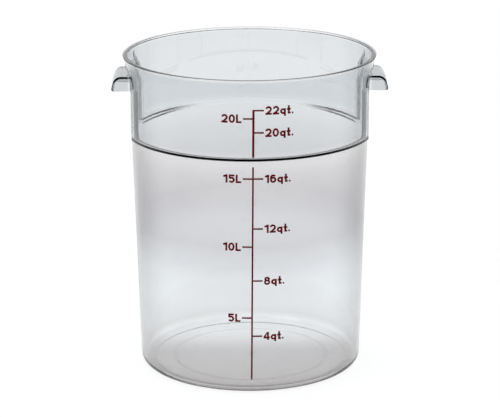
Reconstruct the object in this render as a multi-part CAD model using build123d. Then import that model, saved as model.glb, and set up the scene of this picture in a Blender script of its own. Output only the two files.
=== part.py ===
from build123d import *
import math
import os

os.makedirs("parts", exist_ok=True)

# A round, clear dough proofing container of about 20 litres, in millimetres.
# The frame is +Z up, with the origin at the centre of the face it stands on. The printed scale
# faces -Y, and the two grips stand out on -X and +X.

# Vessel
total_height = 384.0
rim_radius = 151.7
wall_thickness = 2.8
floor_thickness = 2.8

# Bead round the mouth
rim_bead_reach = 2.6
rim_bead_height = 3.1
rim_edge_radius = 1.4
rim_inner_edge_radius = 1.0

# Collar, the step below it, and the lower wall, which narrows to the base
collar_height = 95.5
step_ledge = 6.5
step_edge_chamfer = 0.9
step_root_radius = 0.4
lower_taper = 8.5
base_corner_radius = 9.6

# Underside, which stands on an outer foot
foot_width = 16.7
foot_height = 1.0
ring_inset = 24.0
ring_width = 2.4
ring_depth = 0.6
gate_radius = 3.8
gate_depth = 0.6

# Panel of the collar that is drawn in under each grip
panel_stand = 0.8
panel_half_width = 49.0
panel_corner_radius = 7.0

# Grip: a pocket that is open below, with a lip along its edge and a web at each end
grip_overhang = 14.5
grip_drop = 22.9
grip_length = 60.0
grip_depth = 17.5
grip_plan_radius = 450.0
grip_shoulder_radius = 10.0
grip_lip_flare = 4.2
grip_foot_radius = 2.4
gusset_reach = 3.5
gusset_drop = 5.0

# Printed marks: each level as a share of the height of the wall that carries it
quart_22_share = 0.632
litre_20_share = 0.530
quart_20_share = 0.358
collar_line_end_share = 0.052
lower_line_top_share = 0.971
quart_16_share = 0.922
litre_15_share = 0.922
quart_12_share = 0.712
litre_10_share = 0.635
quart_8_share = 0.490
litre_5_share = 0.330
quart_4_share = 0.251
lower_line_end_share = 0.061

# Ink of the scale and its lettering
ink_thickness = 0.12
upper_line_width = 2.6
lower_line_width = 2.0
tick_width = 1.9
tick_length = 12.0
label_gap = 1.6
cap_height = 10.1
stroke_width = 2.25
digit_width = 7.35
letter_gap = 1.05
unit_raise = 0.2
small_height = 6.7
print_lean_angle = 0.5

# Shares that shape the printed characters, of their own stroke, width or height
one_width_share = 0.68
one_flag_top_share = 0.86
one_flag_depth_share = 0.8
one_nib_share = 0.25
two_heel_share = 0.75
four_stem_share = 0.56
four_bar_share = 0.2
five_stem_share = 0.15
eight_top_share = 0.88
eight_bottom_share = 0.54
litre_foot_share = 0.86

# Angles where the round parts of the 2, 5 and 6 start, and how far they turn, in degrees
two_start_angle = 170
two_turn_angle = 217
five_start_angle = 140
five_turn_angle = 290
six_start_angle = 180
six_turn_angle = 145

# How far every cut runs past the material it goes through
overrun = 5.0

# Radii and heights that follow from the sizes above
collar_radius = rim_radius - rim_bead_reach
lower_top_radius = collar_radius - step_ledge
base_radius = lower_top_radius - lower_taper
panel_radius = lower_top_radius + panel_stand
foot_inner_radius = base_radius - foot_width
ring_radius = foot_inner_radius - ring_inset
grip_reach = rim_radius + grip_overhang
step_height = total_height - collar_height
grip_top_height = total_height - grip_drop

# Marks of the two walls, from the top down
collar_mark_shares = {
    "22_quart": quart_22_share,
    "20_litre": litre_20_share,
    "20_quart": quart_20_share,
}
lower_mark_shares = {
    "16_quart": quart_16_share,
    "15_litre": litre_15_share,
    "12_quart": quart_12_share,
    "10_litre": litre_10_share,
    "8_quart": quart_8_share,
    "5_litre": litre_5_share,
    "4_quart": quart_4_share,
}


def revolved(points, roundings):
    """Solid of revolution about Z; roundings maps a point's number to its corner radius."""
    outline = make_face(Plane.XZ * Polyline(*points, close=True))
    for number, radius in roundings.items():
        outline = rounded_at(outline, points[number], radius)
    return revolve(outline, Axis.Z)


def lower_radius(height):
    """Outer radius of the tapered lower wall at a height."""
    return base_radius + (lower_top_radius - base_radius) * height / step_height


# Walls: outer form and cavity, each turned about the axis

def outer_form():
    bead_bottom = total_height - rim_bead_height
    points = [
        (0, 0),
        (base_radius, 0),
        (lower_top_radius, step_height),
        (collar_radius - step_edge_chamfer, step_height),
        (collar_radius, step_height + step_edge_chamfer),
        (collar_radius, bead_bottom),
        (rim_radius, bead_bottom),
        (rim_radius, total_height),
        (0, total_height),
    ]
    roundings = {1: base_corner_radius, 2: step_root_radius, 6: rim_edge_radius, 7: rim_edge_radius}
    return revolved(points, roundings)


def cavity_form():
    floor_top = foot_height + floor_thickness
    ledge_top = step_height + wall_thickness
    points = [
        (0, floor_top),
        (lower_radius(floor_top) - wall_thickness, floor_top),
        (lower_top_radius - wall_thickness, ledge_top),
        (collar_radius - wall_thickness, ledge_top),
        (collar_radius - wall_thickness, total_height + overrun),
        (0, total_height + overrun),
    ]
    roundings = {1: base_corner_radius - wall_thickness, 2: step_root_radius}
    return revolved(points, roundings)


def panel_block(side, growth):
    """Block of the panel's outline, grown by the wall where it shapes the cavity."""
    half_width = panel_half_width + growth
    top = grip_top_height - wall_thickness / 2 + growth
    bottom = step_height - overrun
    outline = Plane.YZ * Pos(0, (top + bottom) / 2) * Rectangle(2 * half_width, top - bottom)
    upper_corners = outline.vertices().group_by(Axis.Z)[-1]
    outline = fillet(upper_corners, panel_corner_radius + growth)
    return extrude(outline, side * (rim_radius + overrun))


def drum(radius):
    """Full cylinder about Z, taller than the vessel."""
    height = total_height + 2 * overrun
    return Pos(0, 0, total_height / 2) * Cylinder(radius, height)


# Grip: its profile is turned about a far upright axis, so its lip bows a little in plan

def web_wall_x():
    """X of the drawn-in wall where a web meets it."""
    return math.sqrt(panel_radius ** 2 - (grip_length / 2) ** 2)


def lip_x(height, inset):
    """X of the flared lip at a height, moved inwards by an inset."""
    lip_bottom = grip_top_height - grip_depth
    return grip_reach - inset - grip_lip_flare * (height - lip_bottom) / grip_depth


def rounded_at(outline, point, radius):
    """Outline with the corner nearest to the point rounded."""
    corner = outline.vertices().sort_by_distance(Plane.XZ.from_local_coords(point))[0]
    return fillet(corner, radius)


def turned_grip(profile, length):
    """Profile carried along the lip's shallow arc, over the given length."""
    half_angle = math.degrees(math.asin(length / 2 / grip_plan_radius))
    axis = Axis((grip_reach - grip_plan_radius, 0, 0), (0, 0, 1))
    return revolve(profile.rotate(axis, -half_angle), axis, 2 * half_angle)


def grip_outer():
    inner_x = web_wall_x() - 2 * wall_thickness
    bottom = grip_top_height - grip_depth
    shoulder_point = (lip_x(grip_top_height, 0), grip_top_height)
    foot_point = (lip_x(bottom, 0), bottom)
    points = [
        (inner_x, grip_top_height),
        shoulder_point,
        foot_point,
        (web_wall_x() + gusset_reach, bottom),
        (web_wall_x(), bottom - gusset_drop),
        (inner_x, bottom - gusset_drop),
    ]
    profile = make_face(Plane.XZ * Polyline(*points, close=True))
    profile = rounded_at(profile, shoulder_point, grip_shoulder_radius)
    profile = rounded_at(profile, foot_point, grip_foot_radius)
    return turned_grip(profile, grip_length)


def grip_pocket():
    inner_x = web_wall_x() - 2 * wall_thickness
    roof = grip_top_height - wall_thickness
    bottom = grip_top_height - grip_depth - gusset_drop - overrun
    shoulder_point = (lip_x(roof, wall_thickness), roof)
    points = [
        (inner_x, roof),
        shoulder_point,
        (lip_x(bottom, wall_thickness), bottom),
        (inner_x, bottom),
    ]
    profile = make_face(Plane.XZ * Polyline(*points, close=True))
    profile = rounded_at(profile, shoulder_point, grip_shoulder_radius - wall_thickness)
    return turned_grip(profile, grip_length - 2 * wall_thickness) - drum(panel_radius)


def container():
    body = outer_form()
    cavity = cavity_form()
    pocket = grip_pocket()
    grip = grip_outer()
    for side in (1, -1):
        body -= panel_block(side, 0) - drum(panel_radius)
        cavity -= panel_block(side, wall_thickness) - drum(panel_radius - wall_thickness)
    for grip_side, pocket_side in ((grip, pocket), (mirror(grip, Plane.YZ), mirror(pocket, Plane.YZ))):
        body += grip_side
        body -= pocket_side
    body -= cavity
    mouth = body.edges().filter_by(GeomType.CIRCLE).group_by(Axis.Z)[-1].sort_by(SortBy.RADIUS)[0]
    body = fillet(mouth, rim_inner_edge_radius)
    return body - underside_recess()


def underside_recess():
    """Shallow recess inside the foot, which leaves a ring and the gate's pip standing in it."""
    recess = extrude(Circle(foot_inner_radius), foot_height)
    ring = Circle(ring_radius + ring_width / 2) - Circle(ring_radius - ring_width / 2)
    standing = Pos(0, 0, foot_height - ring_depth) * extrude(ring, ring_depth)
    pip = Pos(0, 0, foot_height - gate_depth) * extrude(Circle(gate_radius), gate_depth)
    return recess - standing - pip


# Ink: flat artwork, facing -Y, that is pressed onto the wall

def ink_shell(bottom, top, bottom_radius, top_radius):
    """Thin shell of ink on the wall between two heights."""
    points = [
        (bottom_radius, bottom),
        (bottom_radius + ink_thickness, bottom),
        (top_radius + ink_thickness, top),
        (top_radius, top),
    ]
    return revolved(points, {})


def bar(x_from, x_to, y_from, y_to):
    """Rectangle between two corners, drawn facing -Y."""
    return Pos((x_from + x_to) / 2, (y_from + y_to) / 2) * Rectangle(abs(x_to - x_from), abs(y_to - y_from))


def oval_ring(width, height, centre_x, centre_y):
    """Upright oval stroke inside a width and a height."""
    outer = Ellipse(width / 2, height / 2)
    inner = Ellipse(width / 2 - stroke_width, height / 2 - stroke_width)
    return Pos(centre_x, centre_y) * (outer - inner)


def run(*edges):
    """One continuous stroke along joined edges."""
    return trace(Curve() + list(edges), stroke_width)


def bow(centre_x, centre_y, start_angle, turn):
    """Arc of the round digits' middle line, turning by an angle in degrees."""
    radius = (digit_width - stroke_width) / 2
    return CenterArc((centre_x, centre_y), radius, start_angle, turn)


def glyph_zero():
    return oval_ring(digit_width, cap_height, digit_width / 2, cap_height / 2), digit_width


def glyph_one():
    stem_right = digit_width * one_width_share
    stem_left = stem_right - stroke_width
    flag_top = cap_height * one_flag_top_share
    flag_bottom = flag_top - stroke_width * one_flag_depth_share
    points = [
        (stem_left, 0),
        (stem_right, 0),
        (stem_right, cap_height),
        (stem_left + stroke_width * one_nib_share, cap_height),
        (0, flag_top),
        (0, flag_bottom),
        (stem_left, flag_bottom),
    ]
    return make_face(Polyline(*points, close=True)), stem_right


def glyph_two():
    top = bow(digit_width / 2, cap_height - digit_width / 2, two_start_angle, -two_turn_angle)
    slope_end = (stroke_width * two_heel_share, stroke_width / 2)
    slope = Line(top @ 1, slope_end)
    foot = bar(0, digit_width, 0, stroke_width)
    return run(top) + run(slope) + foot, digit_width


def glyph_four():
    stem_left = digit_width * four_stem_share
    bar_bottom = cap_height * four_bar_share
    bar_top = bar_bottom + stroke_width
    stem = bar(stem_left, stem_left + stroke_width, 0, cap_height)
    cross = bar(0, digit_width, bar_bottom, bar_top)
    slope_points = [
        (0, bar_top - stroke_width / 2),
        (0, bar_top),
        (stem_left, cap_height),
        (stem_left + stroke_width, cap_height),
        (stem_left, cap_height - stroke_width),
        (stroke_width, bar_top - stroke_width / 2),
    ]
    return stem + cross + make_face(Polyline(*slope_points, close=True)), digit_width


def glyph_five():
    left = stroke_width * five_stem_share
    stem = bar(left, left + stroke_width, cap_height / 2, cap_height)
    head = bar(left, digit_width - left, cap_height - stroke_width, cap_height)
    bowl = bow(digit_width / 2, digit_width / 2, five_start_angle, -five_turn_angle)
    return stem + head + run(bowl), digit_width


def glyph_six():
    bowl = oval_ring(digit_width, digit_width, digit_width / 2, digit_width / 2)
    upper_centre = cap_height - digit_width / 2
    back = Line((stroke_width / 2, digit_width / 2), (stroke_width / 2, upper_centre))
    head = bow(digit_width / 2, upper_centre, six_start_angle, -six_turn_angle)
    return bowl + run(back) + run(head), digit_width


def glyph_eight():
    upper_width = digit_width * eight_top_share
    lower_height = (cap_height + stroke_width) * eight_bottom_share
    upper_height = cap_height + stroke_width - lower_height
    lower = oval_ring(digit_width, lower_height, digit_width / 2, lower_height / 2)
    upper = oval_ring(upper_width, upper_height, digit_width / 2, cap_height - upper_height / 2)
    return lower + upper, digit_width


def glyph_litre():
    foot_length = digit_width * litre_foot_share
    return bar(0, stroke_width, 0, cap_height) + bar(0, foot_length, 0, stroke_width), foot_length


def glyph_q():
    bowl = oval_ring(small_height, small_height, small_height / 2, small_height / 2)
    stem = bar(small_height - stroke_width, small_height, -stroke_width, small_height)
    return Pos(0, unit_raise) * (bowl + stem), small_height


def glyph_t():
    arm = stroke_width / 2
    stem = bar(arm, arm + stroke_width, 0, cap_height - unit_raise)
    cross = bar(0, 2 * arm + stroke_width, small_height - stroke_width, small_height)
    toe = bar(arm, 2 * arm + stroke_width, 0, stroke_width)
    return Pos(0, unit_raise) * (stem + cross + toe), 2 * arm + stroke_width


def glyph_stop():
    return Pos(stroke_width / 2, unit_raise + stroke_width / 2) * Circle(stroke_width / 2), stroke_width


GLYPHS = {
    "0": glyph_zero,
    "1": glyph_one,
    "2": glyph_two,
    "4": glyph_four,
    "5": glyph_five,
    "6": glyph_six,
    "8": glyph_eight,
    "L": glyph_litre,
    "q": glyph_q,
    "t": glyph_t,
    ".": glyph_stop,
}


def side_of(mark):
    """Litre marks point left, to side -1, and quart marks point right, to side 1."""
    return -1 if mark.endswith("litre") else 1


def text_of(mark):
    """A mark's name, such as 12_quart, as it is printed."""
    amount, unit = mark.split("_")
    return amount + ("L" if unit == "litre" else "qt.")


def label(mark, level):
    """Row of glyphs beside the end of a mark's tick."""
    text = text_of(mark)
    drawn = [GLYPHS[letter]() for letter in text]
    row_length = sum(width for _, width in drawn) + letter_gap * (len(text) - 1)
    near_end = tick_length + label_gap
    left = near_end if side_of(mark) > 0 else -near_end - row_length
    pieces = []
    for glyph, width in drawn:
        pieces += (Pos(left, level - cap_height / 2) * glyph).faces()
        left += width + letter_gap
    return pieces


def ticked_line(width, top, bottom, levels):
    """Upright line with a tick at each mark's level."""
    drawing = bar(-width / 2, width / 2, bottom, top)
    for mark, level in levels.items():
        drawing += bar(0, side_of(mark) * tick_length, level - tick_width / 2, level + tick_width / 2)
    return drawing.faces()


def printed(faces, shell):
    """Ink solids: flat artwork, leaning clockwise a little, carried straight back onto the wall."""
    leaning = Plane.XZ * Rot(0, 0, -print_lean_angle)
    solids = []
    for face in faces:
        solids += (extrude(leaning * face, rim_radius) & shell).solids()
    return Compound(children=solids)


def collar_print():
    """Line and labels on the collar; the line ends in its highest tick."""
    shell = ink_shell(step_height, total_height - rim_bead_height, collar_radius, collar_radius)
    levels = {mark: step_height + collar_height * share for mark, share in collar_mark_shares.items()}
    top = max(levels.values()) + tick_width / 2
    bottom = step_height + collar_height * collar_line_end_share
    nodes = {"scale_line_upper": printed(ticked_line(upper_line_width, top, bottom, levels), shell)}
    for mark, level in levels.items():
        nodes["scale_label_" + mark] = printed(label(mark, level), shell)
    return nodes


def lower_print():
    """Line and labels on the tapered lower wall."""
    shell = ink_shell(0, step_height, base_radius, lower_top_radius)
    levels = {mark: step_height * share for mark, share in lower_mark_shares.items()}
    top = step_height * lower_line_top_share
    bottom = step_height * lower_line_end_share
    line = ticked_line(lower_line_width, top, bottom, levels)
    nodes = {"scale_line_lower": printed(line, shell)}
    for mark, level in levels.items():
        nodes["scale_label_" + mark] = printed(label(mark, level), shell)
    return nodes


nodes = {"container": container(), **collar_print(), **lower_print()}
for name, shape in nodes.items():
    export_step(shape, f"parts/{name}.step")
    print(name, len(shape.solids()), "solids", round(shape.volume, 1), "mm3")
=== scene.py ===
# %% [markdown]
# # A clear dough proofing container
#
# A round tub of about 20 litres, moulded in one piece from clear polycarbonate, with a dark red
# volume scale printed on its front. The CAD model gives every size. Here the tub gets a smooth
# surface of its own, because clear plastic shows each facet of a coarse one, and the printed
# scale keeps its CAD pieces and gets ink.

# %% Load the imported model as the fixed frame
import math

import bmesh
import bpy
import numpy as np
from mathutils import Matrix, Vector


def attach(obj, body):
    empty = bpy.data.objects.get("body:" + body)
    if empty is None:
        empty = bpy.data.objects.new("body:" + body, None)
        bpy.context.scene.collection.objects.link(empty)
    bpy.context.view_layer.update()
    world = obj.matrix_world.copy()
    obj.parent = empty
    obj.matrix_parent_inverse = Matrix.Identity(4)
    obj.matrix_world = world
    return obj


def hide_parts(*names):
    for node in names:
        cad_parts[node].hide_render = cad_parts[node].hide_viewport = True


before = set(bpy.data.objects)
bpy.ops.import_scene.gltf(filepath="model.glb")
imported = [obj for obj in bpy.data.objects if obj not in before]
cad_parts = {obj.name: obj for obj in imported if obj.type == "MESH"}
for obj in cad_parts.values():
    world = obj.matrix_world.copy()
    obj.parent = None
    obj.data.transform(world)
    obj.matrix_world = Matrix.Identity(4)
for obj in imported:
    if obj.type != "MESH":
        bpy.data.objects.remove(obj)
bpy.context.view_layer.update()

MM = 0.001

# %% [markdown]
# ## The camera
#
# The photograph looks down on the tub by about 16 degrees from some 2.9 m away, through a long
# lens. A perspective camera with no shift gives the same outline, once it is turned by the small
# angle that the printed scale stands off centre. A closer, wider lens would open the mouth's
# oval more than the base's.

# %% Camera
CAMERA_PLACE = np.array([0.0, -2726.8, 987.1]) * MM
LOOK_DOWN = 0.28465
ROLL = -0.0035
TURN = math.radians(-0.5)
FOCAL_PIXELS = 2330.6
PICTURE_WIDTH = 500

camera_data = bpy.data.cameras.new("camera")
camera_data.sensor_width = 36.0
camera_data.lens = FOCAL_PIXELS / PICTURE_WIDTH * camera_data.sensor_width
camera_data.clip_start, camera_data.clip_end = 0.1, 100.0
camera = bpy.data.objects.new("camera", camera_data)
bpy.context.scene.collection.objects.link(camera)

forward = np.array([0.0, math.cos(LOOK_DOWN), -math.sin(LOOK_DOWN)])
level_right = np.array([1.0, 0.0, 0.0])
level_up = np.cross(level_right, forward)
right = math.cos(ROLL) * level_right + math.sin(ROLL) * level_up
up = np.cross(right, forward)
turned = Matrix.Rotation(TURN, 4, "Z")
axes = Matrix(np.column_stack([right, up, -forward]).tolist()).to_4x4()
camera.matrix_world = turned @ Matrix.Translation(Vector(CAMERA_PLACE)) @ axes
bpy.context.scene.camera = camera
camera_at = [round(place, 3) for place in camera.matrix_world.translation]
print("camera at", camera_at, "lens", round(camera_data.lens, 1))

# %% [markdown]
# ## Sizes of the tub
#
# These repeat the CAD source's sizes in millimetres, so that the new surface lies where the CAD
# solid is. They could be measured on the loaded mesh, but its facets hide the true radii. Only
# the rim and the grips are a few hundredths of a millimetre short of the source: the CAD mesh has
# facets, which cut off a little of every curve, and a true curve would stand out past them.

# %% Sizes in millimetres
HEIGHT = 384.0
RIM, COLLAR, LOWER_TOP, BASE = 151.68, 149.1, 142.6, 134.1
WALL = 2.8
STEP = 288.5
BEAD_HEIGHT = 3.1
PANEL, PANEL_HALF_WIDTH, PANEL_CORNER = 143.4, 49.0, 7.0
GRIP_TOP, GRIP_DEPTH, GRIP_LENGTH, GRIP_REACH, GRIP_BEND = 361.1, 17.5, 60.0, 166.17, 450.0
GRIP_SHOULDER, GRIP_FLARE, GRIP_FOOT = 10.0, 4.2, 2.4
GUSSET_REACH, GUSSET_DROP = 3.5, 5.0
FOOT_INNER, FOOT_HEIGHT, RING, RING_WIDTH, RING_DEPTH, GATE = 117.4, 1.0, 93.4, 2.4, 0.6, 3.8
FLOOR_TOP = FOOT_HEIGHT + WALL
print("wall", WALL, "mm, step at", STEP, "mm, floor at", FLOOR_TOP, "mm")

# %% [markdown]
# ## The wall's profile
#
# The tub is a surface of revolution: one closed line runs from the middle of the underside, out
# to the foot, up the outside, over the rim's bead and down the inside to the middle of the
# floor. Spinning a curve with a modifier would do as well. Here the line is an array of radii
# and heights, so that the drawn-in panels can be worked out on the same grid.
#
# A mould never leaves a knife edge, so each corner of the line carries its own rounding.

# %% Rounded line
def rounded_line(corners):
    """Line through corners of (radius, height, rounding, pieces), each rounded by an arc.

    An arc starts and ends where it touches the two straights, rounding / tan(half the corner's
    angle) away from the corner, and its centre lies on the corner's bisector.
    """
    line = []
    last = len(corners) - 1
    for number, (r, z, rounding, pieces) in enumerate(corners):
        here = np.array([r, z])
        if rounding == 0 or number in (0, last):
            line.append(here[None])
            continue
        to_before = np.array(corners[number - 1][:2]) - here
        to_after = np.array(corners[number + 1][:2]) - here
        to_before /= np.linalg.norm(to_before)
        to_after /= np.linalg.norm(to_after)
        half = math.acos(np.clip(to_before @ to_after, -1, 1)) / 2
        bisector = (to_before + to_after) / np.linalg.norm(to_before + to_after)
        centre = here + bisector * rounding / math.sin(half)
        start = here + to_before * rounding / math.tan(half) - centre
        end = here + to_after * rounding / math.tan(half) - centre
        share = np.linspace(0, 1, pieces + 1)[:, None]
        sweep = math.pi - 2 * half
        arc = np.sin((1 - share) * sweep) * start + np.sin(share * sweep) * end
        line.append(centre + arc / math.sin(sweep))
    return np.concatenate(line)


sample = rounded_line([(0.0, 0.0, 0, 0), (1.0, 0.0, 0.5, 4), (1.0, 1.0, 0, 0)])
print("a corner with 4 pieces gives", len(sample), "points")

# %% Rings along the line
RING_GAP, FINE_RING_GAP = 12.0, 0.55
FINE_FROM, FINE_TO = 350.0, 366.0


def divided(line, longest):
    """The line with each straight cut into equal pieces no longer than longest(midpoint)."""
    pieces = []
    for start, end in zip(line[:-1], line[1:]):
        count = max(1, math.ceil(np.linalg.norm(end - start) / longest((start + end) / 2)))
        pieces.append(start + (end - start) * np.linspace(0, 1, count, endpoint=False)[:, None])
    return np.concatenate(pieces + [line[-1:]])


def row_gap(point):
    """Longest gap between rings: short where the panels' upper edge crosses, long elsewhere."""
    r, z = point
    if r > LOWER_TOP and FINE_FROM < z < FINE_TO:
        return FINE_RING_GAP
    return RING_GAP


print("rings are", FINE_RING_GAP, "mm apart at the panels' tops and up to", RING_GAP, "mm elsewhere")

# %% Outer and inner profile
BASE_CORNER = 9.6
DRAFT = 0.25
STEP_ROOT, STEP_EDGE, BEAD_ROOT, BEAD_EDGE = 0.6, 0.3, 0.5, 1.4
MOUTH_EDGE, LEDGE_ROOT, LEDGE_EDGE = 1.0, 0.4, 1.2
# A shade less than the mouth's edge, so that a short straight is left on the rim's top.
MOUTH_ROUNDING = 0.98

outer_corners = [
    (0, FOOT_HEIGHT - RING_DEPTH, 0, 0),
    (GATE, FOOT_HEIGHT - RING_DEPTH, 0, 0),
    (GATE + DRAFT, FOOT_HEIGHT, 0, 0),
    (RING - RING_WIDTH / 2 - DRAFT, FOOT_HEIGHT, 0, 0),
    (RING - RING_WIDTH / 2, FOOT_HEIGHT - RING_DEPTH, 0, 0),
    (RING + RING_WIDTH / 2, FOOT_HEIGHT - RING_DEPTH, 0, 0),
    (RING + RING_WIDTH / 2 + DRAFT, FOOT_HEIGHT, 0, 0),
    (FOOT_INNER, FOOT_HEIGHT, 0, 0),
    (FOOT_INNER + DRAFT, 0, 0, 0),
    (BASE, 0, BASE_CORNER, 12),
    (LOWER_TOP, STEP, STEP_ROOT, 4),
    (COLLAR, STEP, STEP_EDGE, 3),
    (COLLAR, HEIGHT - BEAD_HEIGHT, BEAD_ROOT, 3),
    (RIM, HEIGHT - BEAD_HEIGHT, BEAD_EDGE, 6),
    (RIM, HEIGHT, BEAD_EDGE, 6),
    (COLLAR - WALL + MOUTH_EDGE, HEIGHT, 0, 0),
]
inner_base = BASE + (LOWER_TOP - BASE) * FLOOR_TOP / STEP - WALL
inner_corners = [
    (COLLAR - WALL + MOUTH_EDGE, HEIGHT, 0, 0),
    (COLLAR - WALL, HEIGHT, MOUTH_ROUNDING, 5),
    (COLLAR - WALL, STEP + WALL, LEDGE_ROOT, 4),
    (LOWER_TOP - WALL, STEP + WALL, LEDGE_EDGE, 6),
    (inner_base, FLOOR_TOP, BASE_CORNER - WALL, 10),
    (0, FLOOR_TOP, 0, 0),
]
outer_line = divided(rounded_line(outer_corners), row_gap)
inner_line = divided(rounded_line(inner_corners), row_gap)
print(len(outer_line), "rings outside,", len(inner_line), "inside")

# %% [markdown]
# ## The drawn-in panels
#
# Below each grip the collar is drawn in almost to the width of the lower wall, which leaves room
# for fingers. The panel is a shallow step, open below, with rounded upper corners. It could be
# cut with a boolean, but then its edges would need bevels. As a displacement of the same grid it
# keeps smooth edges. The panel's sides run along X, the way a mould's halves would part, so a
# point moves along X only, as far as the panel's depth times a smooth step of its distance
# inside the panel's outline.

# %% Outline of a panel
def inside_outline(across, z, half_width, top, corner):
    """Distance inside a panel's outline, seen along X: a rectangle, open below, whose two upper
    corners are rounded. It is negative outside."""
    past_side = across - (half_width - corner)
    past_top = z - (top - corner)
    beyond = np.hypot(np.maximum(past_side, 0), np.maximum(past_top, 0))
    return corner - beyond - np.minimum(np.maximum(past_side, past_top), 0)


def smooth_step(value):
    """0 below 0, 1 above 1, and 3v^2 - 2v^3 between."""
    v = np.clip(value, 0, 1)
    return v * v * (3 - 2 * v)


middle = inside_outline(0.0, STEP, PANEL_HALF_WIDTH, GRIP_TOP, PANEL_CORNER)
print("the middle of a panel's foot is", round(float(middle), 1), "mm inside the outline")

# %% Columns round the tub
EDGE_FROM, EDGE_TO = math.radians(18.4), math.radians(21.8)
IN_PANEL, AT_EDGE, BEYOND_PANEL = 14, 48, 46


def ring_angles():
    """Angles of the columns round the tub, closer together where the panels' sides stand.

    One quarter is laid out, mirrored to a half, and the half is repeated.
    """
    quarter = np.concatenate([
        np.linspace(0, EDGE_FROM, IN_PANEL, endpoint=False),
        np.linspace(EDGE_FROM, EDGE_TO, AT_EDGE, endpoint=False),
        np.linspace(EDGE_TO, math.pi / 2, BEYOND_PANEL, endpoint=False),
    ])
    mirrored = math.pi / 2 - np.append(quarter[1:], math.pi / 2)[::-1]
    half_turn = np.concatenate([quarter, math.pi / 2 + mirrored])
    return np.concatenate([half_turn, math.pi + half_turn])


angles = ring_angles()
fine_turn = math.degrees(EDGE_TO - EDGE_FROM) / AT_EDGE
print(len(angles), "columns, at the panels' sides", round(fine_turn, 3), "degrees apart")

# %% Panels as a displacement
PANEL_EDGE = 1.2
PANEL_TOP = GRIP_TOP - WALL / 2
BELOW_STEP = 1


def panelled(line, collar, lower, growth):
    """Rings of a profile line, with the two panels pressed in along X.

    collar and lower are the radii of this face of the wall, and growth is how much wider and
    higher the outline is on this face. A ring on the step moves by its share of the way out to
    the collar. A moved point keeps its Y, so its X is the root of radius^2 - Y^2, and the
    panel's sides stay square to the view along Y.
    """
    r, z = line[:, :1], line[:, 1:]
    y = r * np.sin(angles)
    outline = PANEL_HALF_WIDTH + growth, PANEL_TOP + growth, PANEL_CORNER + growth
    inside = inside_outline(np.abs(y), z, *outline)
    carried = np.where(z > STEP - BELOW_STEP, np.clip((r - lower) / (collar - lower), 0, 1), 0)
    radius = r - (COLLAR - PANEL) * smooth_step(inside / PANEL_EDGE + 0.5) * carried
    x = np.sign(np.cos(angles)) * np.sqrt(np.maximum(radius ** 2 - y ** 2, 0))
    return np.stack([x, y, z + 0 * x], axis=-1)


outer_rings = panelled(outer_line[1:-1], COLLAR, LOWER_TOP, 0)
inner_rings = panelled(inner_line[:-1], COLLAR - WALL, LOWER_TOP - WALL, WALL)
rings = np.concatenate([outer_rings, inner_rings])
print("grid of", *rings.shape[:2], "rings and columns, panels", round(COLLAR - PANEL, 1), "mm deep")

# %% [markdown]
# ## The tub's wall as one closed surface
#
# Clear plastic has an outside and an inside, and light bends at both, so the wall is a closed
# skin with real thickness. A single sheet with a Solidify modifier would give an even wall, but
# not the bead, the foot and the ledge. The grid of rings closes round the tub, and a point in
# the middle of the underside and of the floor closes its two ends.

# %% Mesh helpers
def new_piece(name, points, faces):
    """Mesh object at the origin, from points in millimetres and faces as lists of indices."""
    mesh = bpy.data.meshes.new(name)
    mesh.from_pydata((points * MM).tolist(), [], faces)
    mesh.validate()
    piece = bpy.data.objects.new(name, mesh)
    bpy.context.scene.collection.objects.link(piece)
    return piece


def grid_faces(rows, columns):
    """Quads between neighbouring rows and columns of a grid whose last column joins its first."""
    row, column = np.meshgrid(np.arange(rows - 1), np.arange(columns), indexing="ij")
    following = (column + 1) % columns
    quads = np.stack([row * columns + column, row * columns + following,
                      (row + 1) * columns + following, (row + 1) * columns + column], axis=-1)
    return quads.reshape(-1, 4)


quads = grid_faces(*rings.shape[:2])
print(len(quads), "four-sided faces in the wall")

# %% Tub wall
count, around = rings.shape[:2]
under_middle, floor_middle = count * around, count * around + 1
points = np.concatenate([rings.reshape(-1, 3), [[0, 0, outer_line[0, 1]], [0, 0, FLOOR_TOP]]])
column = np.arange(around)
following = (column + 1) % around
last_row = (count - 1) * around
under = np.stack([np.full(around, under_middle), following, column], axis=-1)
above = np.stack([np.full(around, floor_middle), last_row + column, last_row + following], axis=-1)
tub = new_piece("tub", points, quads.tolist() + under.tolist() + above.tolist())
print("tub:", len(tub.data.vertices), "points,", len(tub.data.polygons), "faces")

# %% [markdown]
# ## The grips
#
# Each grip is a pocket that is open below: a level top, a lip that curves over and down, and a
# web at each end. The lip bows a little in plan. It could be drawn as a sheet and thickened, but
# its corners would then pinch. A block with the grip's outer profile is carried along that bow,
# a smaller one is taken out of it, and the rest is joined to the wall, so that light passes from
# wall to grip with no face between them.

# %% Block along the lip's bow
ALONG_GRIP = 24


def carried_block(name, profile, inner_radius, length, side):
    """Closed block: a profile of X and Z carried along the lip's bow, with flat ends.

    The bow's axis is upright and GRIP_BEND behind the lip. A profile point at distance d from
    the axis goes to d times the cosine and sine of the turn. Where the profile's X is None, the
    block ends on a cylinder of inner_radius about the tub's axis.
    """
    half = math.asin(length / 2 / GRIP_BEND)
    turn = np.linspace(-half, half, ALONG_GRIP + 1)[:, None]
    axis_x = GRIP_REACH - GRIP_BEND
    reach = np.array([np.nan if x is None else x - axis_x for x, _ in profile])[None]
    buried = np.isnan(reach)
    y = np.where(buried, (inner_radius - axis_x) * np.sin(turn), reach * np.sin(turn))
    x = np.where(buried, np.sqrt(inner_radius ** 2 - y ** 2), axis_x + reach * np.cos(turn))
    z = np.array([height for _, height in profile])[None] + 0 * turn
    points = np.stack([side * x, y, z], axis=-1)
    rows, columns = x.shape
    faces = grid_faces(rows, columns).tolist()
    faces.append(list(range(columns)))
    faces.append(list(range((rows - 1) * columns, rows * columns))[::-1])
    return new_piece(name, points.reshape(-1, 3), faces)


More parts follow.
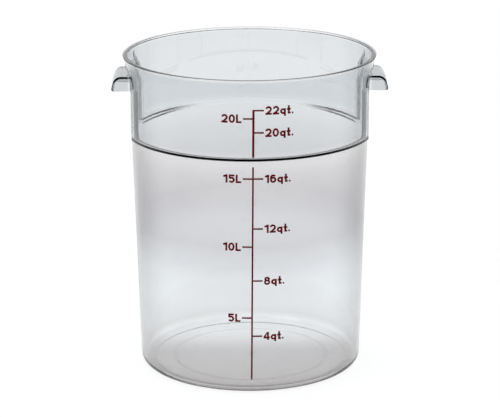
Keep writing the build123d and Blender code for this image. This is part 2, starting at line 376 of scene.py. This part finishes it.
bow = GRIP_BEND - math.sqrt(GRIP_BEND ** 2 - (GRIP_LENGTH / 2) ** 2)
print("the lip bows by", round(bow, 2), "mm over its length")

# %% Helpers that finish a block
BEVEL_PIECES = 3
SHARP_CORNER = math.radians(50)


def outward(piece):
    """Turns the faces of a closed piece outwards."""
    work = bmesh.new()
    work.from_mesh(piece.data)
    bmesh.ops.recalc_face_normals(work, faces=work.faces)
    work.to_mesh(piece.data)
    work.free()


def baked(piece):
    """Replaces the piece's mesh by the one that its modifiers make."""
    graph = bpy.context.evaluated_depsgraph_get()
    mesh = bpy.data.meshes.new_from_object(piece.evaluated_get(graph))
    piece.modifiers.clear()
    piece.data = mesh
    piece.data.name = piece.name


def combined(piece, other, operation):
    """Joins other to piece, or takes it out, and removes other."""
    modifier = piece.modifiers.new(operation.lower(), "BOOLEAN")
    modifier.operation, modifier.solver, modifier.object = operation, "MANIFOLD", other
    baked(piece)
    bpy.data.objects.remove(other)


def softened(piece, width):
    """Rounds the sharp edges of a piece by a width in millimetres."""
    modifier = piece.modifiers.new("rounding", "BEVEL")
    modifier.width, modifier.segments = width * MM, BEVEL_PIECES
    modifier.limit_method, modifier.angle_limit = "ANGLE", SHARP_CORNER
    modifier.harden_normals = False
    baked(piece)


print("edges sharper than", round(math.degrees(SHARP_CORNER)), "degrees get", BEVEL_PIECES, "pieces")

# %% [markdown]
# The grip's profile starts inside the wall, so that the two blocks overlap before they are
# joined. The lip flares outwards as it comes down, which keeps fingers from slipping off. Below
# each web, a small gusset runs down the wall and stiffens the joint.

# %% Profiles of the grip and its pocket
WALL_BURY, POCKET_BURY = 1.4, 0.7
SHOULDER_FROM, HOLLOW_FROM = 160.0, 150.0
GUSSET_HEEL = 0.6
POCKET_OVERRUN = 5
LIP_BOTTOM = GRIP_TOP - GRIP_DEPTH
ROOF = GRIP_TOP - WALL
GUSSET_BOTTOM = LIP_BOTTOM - GUSSET_DROP
BELOW = GUSSET_BOTTOM - POCKET_OVERRUN
WEB_WALL = math.sqrt(PANEL ** 2 - (GRIP_LENGTH / 2) ** 2)


def lip_at(z, inset):
    """X of the flared lip at a height, moved inwards by an inset."""
    return GRIP_REACH - inset - GRIP_FLARE * (z - GRIP_TOP + GRIP_DEPTH) / GRIP_DEPTH


def as_points(corners):
    """Points of a rounded line, without its first, as pairs."""
    return [tuple(point) for point in rounded_line(corners)[1:]]


shoulder = [
    (SHOULDER_FROM, GRIP_TOP, 0, 0),
    (lip_at(GRIP_TOP, 0), GRIP_TOP, GRIP_SHOULDER, 10),
    (lip_at(LIP_BOTTOM, 0), LIP_BOTTOM, GRIP_FOOT, 5),
    (WEB_WALL + GUSSET_REACH, LIP_BOTTOM, 0, 0),
]
gusset = [(WEB_WALL - GUSSET_HEEL, GUSSET_BOTTOM), (None, GUSSET_BOTTOM)]
outer_profile = [(None, GRIP_TOP)] + as_points(shoulder) + gusset
hollow = [
    (HOLLOW_FROM, ROOF, 0, 0),
    (lip_at(ROOF, WALL), ROOF, GRIP_SHOULDER - WALL, 10),
    (lip_at(BELOW, WALL), BELOW, 0, 0),
]
pocket_profile = [(None, ROOF)] + as_points(hollow) + [(None, BELOW)]
print("grip profile", len(outer_profile), "points, pocket", len(pocket_profile))

# %% Grips joined to the tub
GRIP_ROUNDING, POCKET_ROUNDING = 0.9, 0.6

for side in (-1, 1):
    grip = carried_block("grip", outer_profile, PANEL - WALL_BURY, GRIP_LENGTH, side)
    outward(grip)
    pocket = carried_block("pocket", pocket_profile, PANEL - POCKET_BURY, GRIP_LENGTH - 2 * WALL, side)
    outward(pocket)
    softened(grip, GRIP_ROUNDING)
    softened(pocket, POCKET_ROUNDING)
    combined(grip, pocket, "DIFFERENCE")
    print("grip:", len(grip.data.polygons), "faces")
    combined(tub, grip, "UNION")

# %% [markdown]
# The moulding is one solid now. Smooth shading hides the facets of its curves, and edges that
# turn by more than 38 degrees stay sharp, as a mould leaves them. The finished piece takes the
# place of the CAD container, which is hidden.

# %% Finished moulding
SHARP_EDGE = math.radians(38)
tub.data.shade_smooth()
tub.data.set_sharp_from_angle(angle=SHARP_EDGE)
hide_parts("container")
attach(tub, "root")
print("tub with grips:", len(tub.data.polygons), "faces")

# %% [markdown]
# ## Clear plastic
#
# Polycarbonate is a clear, faintly grey plastic that bends light by 1.585. The photograph shows
# it deeper in some heights than in others: greyest in the upper half of the lower wall and in
# the floor, clearest low on the wall, with a bluish collar. Most of that is the studio's light
# and shade seen through the wall and reflected in it, so the colour by height is painted shade
# over the plastic's faint grey. One flat colour can't give that, and a painted picture would
# have seams, so the colour follows the height of the point.
#
# The next helper writes shader maths as plain sums, so that the masks below read like a recipe.
# Its places and distances are in millimetres, worked out from the tub's own Object coordinates.
# Only the scale of a noise and the depth of a bump count in metres.

# %% Node helper
class Shading:
    """Shader maths in one node tree: every value is a number, a triple or a socket."""

    def __init__(self, tree):
        """Starts with the place of the shaded point: x, y and z in millimetres."""
        self.tree = tree
        self.place = tree.nodes.new("ShaderNodeTexCoord").outputs["Object"]
        split = tree.nodes.new("ShaderNodeSeparateXYZ")
        tree.links.new(self.place, split.inputs[0])
        self.x, self.y, self.z = (self.maths("MULTIPLY", socket, 1 / MM) for socket in split.outputs)

    def feed(self, socket, value):
        """Sets a socket to a number or a triple, or links another socket to it."""
        if isinstance(value, (int, float)):
            socket.default_value = value
        elif isinstance(value, tuple):
            socket.default_value = (*value, 1)[:len(socket.default_value)]
        else:
            self.tree.links.new(value, socket)

    def new(self, kind, properties=None, **inputs):
        """New node with its own properties and its named inputs set."""
        made = self.tree.nodes.new(kind)
        for name, value in (properties or {}).items():
            setattr(made, name, value)
        for name, value in inputs.items():
            self.feed(made.inputs[name.replace("_", " ")], value)
        return made

    def maths(self, operation, first, second=0.0):
        """One step of arithmetic on two values."""
        made = self.new("ShaderNodeMath", {"operation": operation})
        self.feed(made.inputs[0], first)
        self.feed(made.inputs[1], second)
        return made.outputs[0]

    def plus(self, first, second):
        """First plus second."""
        return self.maths("ADD", first, second)

    def minus(self, first, second):
        """First minus second."""
        return self.maths("SUBTRACT", first, second)

    def times(self, first, *others):
        """Product of all values."""
        for other in others:
            first = self.maths("MULTIPLY", first, other)
        return first

    def most(self, first, *others):
        """Largest of all values, which joins masks."""
        for other in others:
            first = self.maths("MAXIMUM", first, other)
        return first

    def length(self, first, second):
        """Square root of the sum of both squares."""
        return self.maths("SQRT", self.plus(self.times(first, first), self.times(second, second)))

    def without(self, mask):
        """1 minus the mask."""
        return self.minus(1.0, mask)

    def fade(self, value, start, end, low=0.0, high=1.0):
        """Smooth change from low at start to high at end, held beyond them."""
        made = self.new("ShaderNodeMapRange", {"interpolation_type": "SMOOTHSTEP"}, Value=value)
        sockets = ("From Min", "From Max", "To Min", "To Max")
        for socket, number in zip(sockets, (start, end, low, high)):
            made.inputs[socket].default_value = number
        return made.outputs[0]

    def below(self, value, start, end):
        """1 below the start, falling to 0 at the end."""
        return self.fade(value, start, end, 1.0, 0.0)

    def near(self, value, middle, half_width, soft):
        """1 within half_width of the middle, falling to 0 over the soft distance."""
        off = self.maths("ABSOLUTE", self.minus(value, middle))
        return self.below(off, half_width, half_width + soft)

    def noise(self, scale, detail=2.0, roughness=0.5):
        """Noise of the object coordinates, stretched by a scale for each axis."""
        mapping = self.new("ShaderNodeMapping", Vector=self.place)
        mapping.inputs["Scale"].default_value = scale
        return self.new("ShaderNodeTexNoise", Vector=mapping.outputs[0], Scale=1.0, Detail=detail,
                        Roughness=roughness).outputs[0]

    def mix(self, share, first, second):
        """Mix of two colours by a share."""
        made = self.new("ShaderNodeMix", {"data_type": "RGBA"})
        for number, value in ((0, share), (6, first), (7, second)):
            self.feed(made.inputs[number], value)
        return made.outputs[2]

    def darker(self, colour, share):
        """The colour times a share."""
        made = self.new("ShaderNodeVectorMath", {"operation": "SCALE"})
        self.feed(made.inputs[0], colour)
        self.feed(made.inputs["Scale"], share)
        return made.outputs[0]


def empty_material(name):
    """New material with no nodes yet."""
    made = bpy.data.materials.new(name)
    made.use_nodes = True
    made.node_tree.nodes.clear()
    return made


plastic = empty_material("clear_polycarbonate")
paint = Shading(plastic.node_tree)
print("the tub's place in millimetres takes", len(paint.tree.nodes), "nodes")

# %% Tint and painted shade by height
# Painted shade: the plastic's faint grey, darker or lighter by height where the room's light and shade
# show through the wall.
TINTS_AND_PAINTED_SHADE = [
    (0.0, (0.64, 0.61, 0.61)), (3.9, (0.72, 0.70, 0.70)), (12.0, (0.77, 0.76, 0.76)),
    (23.0, (0.83, 0.835, 0.84)), (45.0, (0.89, 0.90, 0.91)), (63.0, (0.94, 0.96, 0.97)),
    (110.0, (0.94, 0.96, 0.97)), (138.0, (0.88, 0.895, 0.91)), (158.0, (0.78, 0.785, 0.80)),
    (182.0, (0.695, 0.685, 0.705)), (205.0, (0.74, 0.735, 0.75)), (235.0, (0.80, 0.79, 0.80)),
    (265.0, (0.88, 0.875, 0.88)), (280.0, (0.95, 0.945, 0.945)), (288.0, (0.93, 0.935, 0.94)),
    (300.0, (0.80, 0.825, 0.84)), (380.0, (0.78, 0.805, 0.82)), (381.2, (0.96, 0.965, 0.97)),
]

ramp = paint.new("ShaderNodeValToRGB", Fac=paint.maths("DIVIDE", paint.z, HEIGHT))
stops = ramp.color_ramp.elements
while len(stops) < len(TINTS_AND_PAINTED_SHADE):
    stops.new(0.5)
for stop, (level, tint_and_painted_light) in zip(stops, TINTS_AND_PAINTED_SHADE):
    stop.position, stop.color = level / HEIGHT, (*tint_and_painted_light, 1)
print(len(TINTS_AND_PAINTED_SHADE), "heights in the colour, from the floor to the rim")

# %% [markdown]
# ## Painted shade where a clear wall looks darker
#
# A wall seen edge-on looks darker, mostly because it bends the darker parts of the room into
# view; here that shade is painted into the colour. The Layer Weight node tells how edge-on a
# face is. Less of it is used at the collar's sides, where the wall and the panel stand one behind
# the other and add up. The grips, the panels, the wall under the grips and the front of the
# base's corner get painted shade too. Real rays would give part of this, but a plain white room
# leaves it too pale, so masks paint the shade.

# %% Directions and distances of the shaded point
LEVEL_SLOPE = 0.3, 0.6
PANEL_ZONE = 118.0, 124.0

across, away = paint.maths("ABSOLUTE", paint.x), paint.maths("ABSOLUTE", paint.y)
radius = paint.length(paint.x, paint.y)
normal = paint.tree.nodes.new("ShaderNodeTexCoord").outputs["Normal"]
slope = paint.new("ShaderNodeSeparateXYZ", Vector=normal)
steep = paint.below(paint.maths("ABSOLUTE", slope.outputs[2]), *LEVEL_SLOPE)
facing = paint.new("ShaderNodeLayerWeight", Blend=0.5).outputs["Facing"]
at_panel = paint.fade(across, *PANEL_ZONE)
print("the panels start", PANEL_ZONE[0], "to", PANEL_ZONE[1], "mm from the middle")

# %% Painted shade on edge-on walls
EDGE_ON = 0.3, 0.85
LOW_WALL, HIGH_WALL = 90.0, 200.0
LOW_LOSS, HIGH_LOSS, COLLAR_LOSS = 0.34, 0.48, 0.1
ONTO_COLLAR = STEP - 2.5, STEP + 3.5
DOUBLE_ACROSS, DOUBLE_HEIGHT, DOUBLE_SHARE = (124.0, 130.0), (STEP, STEP + 3), 0.6

lower_loss = paint.fade(paint.z, LOW_WALL, HIGH_WALL, LOW_LOSS, HIGH_LOSS)
collar_loss = paint.fade(paint.z, *ONTO_COLLAR, 0.0, COLLAR_LOSS)
on_collar_side = paint.times(paint.fade(across, *DOUBLE_ACROSS), paint.fade(paint.z, *DOUBLE_HEIGHT))
# Painted shade: the colour darkens where the wall is seen edge-on.
painted_edge_shade = paint.times(paint.fade(facing, *EDGE_ON), paint.plus(lower_loss, collar_loss),
                      paint.without(paint.times(on_collar_side, DOUBLE_SHARE)))
print("an edge-on wall loses up to", HIGH_LOSS + COLLAR_LOSS, "of its light")

# %% Painted shade on grips, panels and base
GRIP_ACROSS = 143.5, 146.0
GRIP_LOW, GRIP_HIGH = (336.0, 340.0), (GRIP_TOP + 0.1, GRIP_TOP + 0.5)
GRIP_END = 30.3, 30.9
PANEL_RADII, PANEL_HEIGHTS = (PANEL + 0.6, PANEL + 2.6), (STEP + 3.5, STEP + 5.5)
PANEL_SIDES = PANEL_HALF_WIDTH - 1, PANEL_HALF_WIDTH + 1
UNDER_GRIP = 335.0, 352.0
FOOT_SHADE, FOOT_SHADE_HEIGHT = (112.0, 124.0), (4.0, 16.0)
FRONT_TO_BACK = -60.0, 10.0
BASE_LINE_HEIGHT = 1.0, 4.0

# Places for painted shade: the grips, the panels, the wall under the grips and the front of the base's
# corner.
on_grip = paint.times(paint.fade(across, *GRIP_ACROSS), paint.fade(paint.z, *GRIP_LOW),
                      paint.below(paint.z, *GRIP_HIGH), paint.below(away, *GRIP_END))
in_panel = paint.times(paint.below(radius, *PANEL_RADII), paint.below(away, *PANEL_SIDES),
                       at_panel, paint.fade(paint.z, *PANEL_HEIGHTS))
painted_shade_under_grip = paint.times(in_panel, paint.fade(paint.z, *UNDER_GRIP))
foot = paint.times(paint.fade(radius, *FOOT_SHADE), paint.below(paint.z, *FOOT_SHADE_HEIGHT))
corner = paint.times(foot, paint.below(paint.y, *FRONT_TO_BACK))
painted_base_line = paint.times(corner, paint.below(paint.z, *BASE_LINE_HEIGHT))
print("the foot's shade reaches", FOOT_SHADE_HEIGHT[1], "mm up the wall")

# %% Share of light left after the painted shade
# Painted shade: each mask darkens the colour by its share.
PAINTED_SHADES = [
    (painted_edge_shade, 1.0), (on_grip, 0.21), (in_panel, 0.12),
    (painted_shade_under_grip, 0.45), (corner, 0.12), (painted_base_line, 0.45),
]
CLOUD_SCALE, CLOUD_LOSS, CLOUDLESS = (14.0, 14.0, 9.0), 0.05, 1.02

clouds = paint.noise(CLOUD_SCALE, detail=3.0)
share = paint.minus(CLOUDLESS, paint.times(clouds, CLOUD_LOSS))
for mask, loss in PAINTED_SHADES:
    share = paint.times(share, paint.without(paint.times(mask, loss)))
tint_and_painted_light = paint.darker(ramp.outputs[0], share)
print(len(PAINTED_SHADES), "masks darken the plastic, and faint clouds break it up")

# %% [markdown]
# ## Painted dark lines where the moulding turns
#
# A sharp turn in clear plastic shows as a fine dark line, because light is trapped there and
# leaves somewhere else, so the line is shade. The photograph has such lines at the step, along
# the panels' sides and at the grips' edges. They could be thin strips of black geometry, but those
# would stand out from the surface. As masks in the same material they paint that shade and follow
# the wall: each is near 1 on a narrow band of heights, radii or distances, and colour and
# reflection go to black there.
#
# The step's line is 3 mm high on the front. On the far side it fades out in the middle, where
# the photograph shows the ledge pale, and a second line runs a little below it near the panels.

# %% Step
# Painted shade: the black that the painted lines take.
PAINTED_LINE_BLACK = (0.0, 0.0, 0.0)
FRONT_LINE_HEIGHT = 3.0
FAR_LINE_HEIGHTS = 0.05, 0.15
FAR_LINE_ACROSS = 30.0, 115.0
FRONT_TO_FAR = -30.0, 30.0
FAR_HALF = -5.0, 5.0
PAST_PANEL_SIDE = 1.5
STEP_RADII = LOWER_TOP - 2.2, LOWER_TOP - 1.2
LINE_START, LINE_END_SHARE = (-0.1, 0.0), (1.0, 1.1)

above_step = paint.minus(paint.z, STEP)
far_line = paint.fade(across, *FAR_LINE_ACROSS, *FAR_LINE_HEIGHTS)
line_height = paint.plus(paint.times(paint.fade(paint.y, *FRONT_TO_FAR), far_line),
                         paint.fade(paint.y, *FRONT_TO_FAR, FRONT_LINE_HEIGHT, 0.0))
within_sides = paint.below(away, PANEL_HALF_WIDTH, PANEL_HALF_WIDTH + PAST_PANEL_SIDE)
between_sides = paint.times(within_sides, at_panel)
line_share = paint.maths("DIVIDE", above_step, line_height)
# Painted shade: a black line along the step.
painted_step_line = paint.times(paint.below(line_share, *LINE_END_SHARE),
                        paint.fade(above_step, *LINE_START), steep, paint.fade(radius, *STEP_RADII),
                        paint.without(paint.times(between_sides, paint.fade(paint.y, *FAR_HALF))))
print("the step's line is", FRONT_LINE_HEIGHT, "mm high on the front")

# %% Far side of the step
ROOT_OFFSETS, ROOT_OFFSET_ACROSS = (0.4, 3.4), (62.0, 134.0)
ROOT_LINE_HALF, ROOT_LINE_ACROSS, ROOT_LINE_FROM = 0.95, (45.0, 110.0), (10.0, 30.0)
PALE_FROM, PALE_ACROSS, PALE_MIDDLE, PALE_HALF = (20.0, 60.0), (50.0, 110.0), 1.0, 2.4
ROOT_RADIUS_HALF, LEDGE_HALF = 0.5, 1.6

below_root = paint.plus(above_step, paint.fade(across, *ROOT_OFFSET_ACROSS, *ROOT_OFFSETS))
# Painted shade: a second black line at the root of the step, on the far side.
painted_root_line = paint.times(paint.near(radius, LOWER_TOP, ROOT_RADIUS_HALF, soft=0.2),
                        paint.near(below_root, 0.0, ROOT_LINE_HALF, soft=0.3),
                        paint.fade(across, *ROOT_LINE_ACROSS), paint.fade(paint.y, *ROOT_LINE_FROM),
                        paint.without(between_sides))
# Painted light: in the middle of the far step the plastic passes rays straight through, so that place
# looks pale.
painted_pale_step = paint.times(paint.fade(paint.y, *PALE_FROM), paint.below(across, *PALE_ACROSS),
                        paint.near(above_step, PALE_MIDDLE, PALE_HALF, soft=0.4))
# Painted light: the ledge's level faces are taken to a near white.
ledge = paint.times(paint.near(above_step, WALL / 2, LEDGE_HALF, soft=0.3), paint.without(steep))
print("the second line is", 2 * ROOT_LINE_HALF, "mm high, up to", ROOT_OFFSETS[1], "mm below the step")

# %% Sides of the panels
SIDE_LINE_MIDDLE, SIDE_LINE_HALF = PANEL_HALF_WIDTH - 0.5, 0.7
SIDE_LINE_FOOT, SIDE_LINE_TOP = (STEP, STEP + 2), (346.0, 356.0)
FACE_FROM, FACE_TO = (PANEL - 1.0, PANEL - 0.6), (PANEL + 0.8, PANEL + 1.2)

panel_face = paint.times(paint.fade(radius, *FACE_FROM), paint.below(radius, *FACE_TO))
# Painted shade: black lines along the panels' sides.
painted_side_line = paint.times(paint.near(away, SIDE_LINE_MIDDLE, SIDE_LINE_HALF, soft=0.2),
                        at_panel, panel_face,
                        paint.fade(paint.z, *SIDE_LINE_FOOT), paint.below(paint.z, *SIDE_LINE_TOP))
print("the panels' lines are", 2 * SIDE_LINE_HALF, "mm wide")

# %% Edges of the grips
GRIP_LINE = 1.8, 2.6
WEB_FROM = 28.2, 28.8

# Distance inside the grip's outline, seen along Y, as for the panel's outline above.
lip = paint.plus(paint.times(paint.minus(paint.z, LIP_BOTTOM), GRIP_FLARE / GRIP_DEPTH), across)
past_lip = paint.plus(paint.minus(lip, GRIP_REACH), GRIP_SHOULDER)
past_top = paint.minus(paint.z, GRIP_TOP - GRIP_SHOULDER)
beyond = paint.length(paint.most(past_lip, 0.0), paint.most(past_top, 0.0))
inner_part = paint.maths("MINIMUM", paint.most(past_lip, past_top), 0.0)
depth = paint.minus(paint.minus(GRIP_SHOULDER, beyond), inner_part)
# Painted shade: black lines along the grips' outer edges.
painted_grip_line = paint.times(paint.below(depth, *GRIP_LINE), paint.fade(away, *WEB_FROM), on_grip)
print("the webs' outer", GRIP_LINE[1], "mm are dark, where", WEB_FROM[1], "mm from the grip's middle")

# %% [markdown]
# The ledge and the far half of the floor catch the white room and look pale, so painted light
# takes the colour to a near white there. The painted lines are drawn last, over both.

# %% Painted pale places and painted lines in the tint
PAINTED_PALE = (0.97, 0.975, 0.98)
FLOOR_SHADE = 4.2, 4.6
FAR_FLOOR, FAR_FLOOR_SHARE = 90.0, 0.9

tint_and_painted_light = paint.mix(ledge, tint_and_painted_light, PAINTED_PALE)
on_floor = paint.most(foot, paint.below(paint.z, *FLOOR_SHADE))
# Painted light: the far half of the floor is taken to a near white.
painted_pale_far_floor = paint.times(on_floor, paint.fade(paint.y, 0.0, FAR_FLOOR, 0.0, FAR_FLOOR_SHARE))
tint_and_painted_light = paint.mix(painted_pale_far_floor, tint_and_painted_light, PAINTED_PALE)
lines = painted_step_line, painted_root_line, painted_side_line, painted_grip_line
for mask in lines:
    tint_and_painted_light = paint.mix(mask, tint_and_painted_light, PAINTED_LINE_BLACK)
# The painted lines lose their reflection too: the specular tint goes to black on them.
shine = paint.mix(paint.most(*lines), (1.0, 1.0, 1.0), PAINTED_LINE_BLACK)
print(len(lines), "kinds of line")

# %% [markdown]
# ## The surface of the plastic
#
# A moulded tub that has been in use isn't perfectly even: flow marks run up its wall, and fine
# scuffs gather near its base, where it slides over the bench. Both come from noise of the same
# coordinates, the flow marks stretched tall. They vary the roughness and, through a Bump node,
# the way the surface bends light, by a fraction of a millimetre at most.
#
# The Principled shader with full transmission gives the clear body. Light that only casts the
# shadow passes straight through, as a clear tub's shadow is light. In the middle of the far step
# every ray passes straight through, which paints that place pale. A faint absorption in the
# volume adds the blue-grey of thick plastic.

# %% Unevenness
STREAK_SCALE, SCUFF_SCALE = (60.0, 60.0, 2.2), (210.0, 210.0, 160.0)
STREAK_ROUGHNESS, SCUFF_ROUGHNESS = (0.008, 0.03), 0.05
SCUFFED_HEIGHT, SCUFFED_PART = 26.0, (0.45, 0.7)
STREAK_RELIEF, SCUFF_RELIEF = 0.7, 0.05
BUMP_STRENGTH, BUMP_DISTANCE = 0.25, 0.0006

streaks = paint.noise(STREAK_SCALE)
scuffs = paint.noise(SCUFF_SCALE, detail=4.0, roughness=0.7)
low_down = paint.below(paint.z, 0.0, SCUFFED_HEIGHT)
scuffed = paint.times(paint.fade(scuffs, *SCUFFED_PART, 0.0, SCUFF_ROUGHNESS), low_down)
rough = paint.plus(paint.fade(streaks, 0.0, 1.0, *STREAK_ROUGHNESS), scuffed)
relief = paint.plus(paint.times(streaks, STREAK_RELIEF), paint.times(scuffs, SCUFF_RELIEF))
bump = paint.new("ShaderNodeBump", Height=relief, Strength=BUMP_STRENGTH, Distance=BUMP_DISTANCE)
print("roughness from", STREAK_ROUGHNESS[0], "to", round(STREAK_ROUGHNESS[1] + SCUFF_ROUGHNESS, 3))

# %% Plastic shader
BENDING = 1.585
SHADOW_TINT = (0.93, 0.94, 0.95)
BODY_TINT, BODY_DENSITY = (0.5, 0.54, 0.57), 14.0


def either(share, first, second):
    """Mix of two shaders by a share."""
    made = paint.new("ShaderNodeMixShader", Fac=share)
    paint.feed(made.inputs[1], first.outputs[0])
    paint.feed(made.inputs[2], second.outputs[0])
    return made


clear = paint.new("ShaderNodeBsdfPrincipled", Base_Color=tint_and_painted_light, Roughness=rough, Normal=bump.outputs[0],
                  Transmission_Weight=1.0, IOR=BENDING, Specular_Tint=shine)
# Painted light: the pale, unbent see-through for the far step's middle.
unbent = paint.new("ShaderNodeBsdfTransparent", Color=PAINTED_PALE)
shadow = paint.new("ShaderNodeBsdfTransparent", Color=SHADOW_TINT)
rays = paint.new("ShaderNodeLightPath")
surface = either(rays.outputs["Is Shadow Ray"], either(painted_pale_step, clear, unbent), shadow)
body = paint.new("ShaderNodeVolumeAbsorption", Color=BODY_TINT, Density=BODY_DENSITY)
paint.new("ShaderNodeOutputMaterial", Surface=surface.outputs[0], Volume=body.outputs[0])
tub.data.materials.clear()
tub.data.materials.append(plastic)
print("plastic:", len(paint.tree.nodes), "nodes")

# %% [markdown]
# ## Printed ink
#
# The scale is screen-printed with a dark oxblood ink, about a tenth of a millimetre thick. It
# could be a picture laid on the wall, but the CAD pieces already have every stroke's shape, so
# they only need the ink. Such a print is a little uneven, so a fine noise varies its depth of
# colour, its sheen and its surface.

# %% Printed ink
INK_DEEP, INK_THIN = (0.095, 0.001, 0.0015), (0.145, 0.003, 0.003)
INK_ROUGHNESS = 0.5, 0.7
INK_GRAIN = (350.0, 350.0, 350.0)

ink = empty_material("scale_ink")
paint = Shading(ink.node_tree)
mottle = paint.noise(INK_GRAIN, detail=3.0)
bump = paint.new("ShaderNodeBump", Height=mottle, Strength=0.2, Distance=0.0001)
film = paint.new("ShaderNodeBsdfPrincipled", Base_Color=paint.mix(mottle, INK_DEEP, INK_THIN),
                 Roughness=paint.fade(mottle, 0.0, 1.0, *INK_ROUGHNESS), Normal=bump.outputs[0],
                 Specular_IOR_Level=0.06)
paint.new("ShaderNodeOutputMaterial", Surface=film.outputs[0])
printed = [piece for name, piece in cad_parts.items() if name.startswith("scale_")]
for piece in printed:
    piece.data.materials.clear()
    piece.data.materials.append(ink)
print("ink on", len(printed), "printed pieces")

# %% [markdown]
# ## The floor
#
# The tub stands on a white table with no visible edge and a faint shadow. A shadow catcher
# would need a second picture behind the first. A wide plane does it in one: it is partly a plain
# white surface, which takes the shadow, and partly a glow, which brings it up to the photograph's
# white. Only the camera sees the glow, and rays that the plastic reflects or lets through.

# %% Floor, in metres
FLOOR_HALF, FLOOR_LEVEL = 12.0, -0.0006
FLOOR_WHITES = (0.89, 0.89, 0.89), (0.91, 0.91, 0.91)
FLOOR_GRAIN = (40.0, 40.0, 40.0)
GLOW, GLOW_SHARE = 1.12, 0.75

corners = [(-1, -1), (1, -1), (1, 1), (-1, 1)]
floor_points = [(x * FLOOR_HALF, y * FLOOR_HALF, FLOOR_LEVEL) for x, y in corners]
floor_mesh = bpy.data.meshes.new("floor")
floor_mesh.from_pydata(floor_points, [], [(0, 1, 2, 3)])
floor = bpy.data.objects.new("floor", floor_mesh)
bpy.context.scene.collection.objects.link(floor)

white = empty_material("floor_white")
paint = Shading(white.node_tree)
rays = paint.new("ShaderNodeLightPath").outputs
seen = paint.most(rays["Is Camera Ray"], rays["Is Glossy Ray"], rays["Is Transmission Ray"])
grain = paint.noise(FLOOR_GRAIN, detail=3.0)
table = paint.new("ShaderNodeBsdfDiffuse", Color=paint.mix(grain, *FLOOR_WHITES))
glow = paint.new("ShaderNodeEmission", Color=(1.0, 1.0, 1.0), Strength=GLOW)
surface = either(paint.times(seen, GLOW_SHARE), table, glow)
paint.new("ShaderNodeOutputMaterial", Surface=surface.outputs[0])
floor.data.materials.append(white)
print("floor:", 2 * FLOOR_HALF, "m wide")

# %% [markdown]
# ## The room
#
# The backdrop is white for the camera. Rays that reflect in the plastic or pass through it see
# white walls and a darker ceiling, which gives the collar and the rim their grey, and everything
# else gets an even, faintly blue light. Three Background shaders, chosen by the kind of ray,
# do this with no walls to build.

# %% World
CEILING_FROM, CEILING_TO, CEILING_LIGHT = 0.35, 0.6, 0.08
ROOM_COLOUR, ROOM_LIGHT = (0.95, 0.97, 1.0), 0.75

world = bpy.data.worlds.new("studio")
bpy.context.scene.world = world
world.use_nodes = True
tree = world.node_tree
tree.nodes.clear()
path = tree.nodes.new("ShaderNodeLightPath").outputs
split = tree.nodes.new("ShaderNodeSeparateXYZ")
tree.links.new(tree.nodes.new("ShaderNodeTexCoord").outputs["Generated"], split.inputs[0])
through = tree.nodes.new("ShaderNodeMath")
through.operation = "MAXIMUM"
tree.links.new(path["Is Glossy Ray"], through.inputs[0])
tree.links.new(path["Is Transmission Ray"], through.inputs[1])
ceiling = tree.nodes.new("ShaderNodeMapRange")
ceiling.interpolation_type = "SMOOTHSTEP"
ceiling.inputs["From Min"].default_value = CEILING_FROM
ceiling.inputs["From Max"].default_value = CEILING_TO
ceiling.inputs["To Min"].default_value = 1.0
ceiling.inputs["To Max"].default_value = CEILING_LIGHT
tree.links.new(split.outputs["Z"], ceiling.inputs["Value"])


def sky(colour, strength):
    """Background shader; the strength is a number or a socket."""
    made = tree.nodes.new("ShaderNodeBackground")
    made.inputs["Color"].default_value = (*colour, 1)
    if isinstance(strength, float):
        made.inputs["Strength"].default_value = strength
    else:
        tree.links.new(strength, made.inputs["Strength"])
    return made.outputs[0]


def chosen(share, first, second):
    """First shader where the share is 0, second where it is 1."""
    made = tree.nodes.new("ShaderNodeMixShader")
    for socket, value in zip(made.inputs, (share, first, second)):
        tree.links.new(value, socket)
    return made.outputs[0]


WHITE = (1.0, 1.0, 1.0)
lighting = chosen(through.outputs[0], sky(ROOM_COLOUR, ROOM_LIGHT), sky(WHITE, ceiling.outputs[0]))
backdrop = chosen(path["Is Camera Ray"], lighting, sky(WHITE, 1.0))
output = tree.nodes.new("ShaderNodeOutputWorld")
tree.links.new(backdrop, output.inputs["Surface"])
print("world:", len(tree.nodes), "nodes")

# %% [markdown]
# ## The lamp
#
# One large lamp from the upper left makes the soft shadow to the right. A small lamp would draw
# bright spots on every curve of the plastic, which the photograph doesn't show.

# %% Lamp, in metres
LAMP_PLACE, LAMP_SIZE, LAMP_POWER = (-1.6, -1.4, 2.2), 1.4, 18.0
TUB_MIDDLE = (0, 0, 0.19)

lamp_data = bpy.data.lights.new("key", "AREA")
lamp_data.size, lamp_data.energy = LAMP_SIZE, LAMP_POWER
lamp = bpy.data.objects.new("key", lamp_data)
bpy.context.scene.collection.objects.link(lamp)
lamp.location = LAMP_PLACE
lamp.rotation_euler = (Vector(TUB_MIDDLE) - Vector(LAMP_PLACE)).to_track_quat("-Z", "Y").to_euler()
bpy.context.scene.view_settings.view_transform = "Standard"
print("lamp:", LAMP_POWER, "W,", LAMP_SIZE, "m wide")
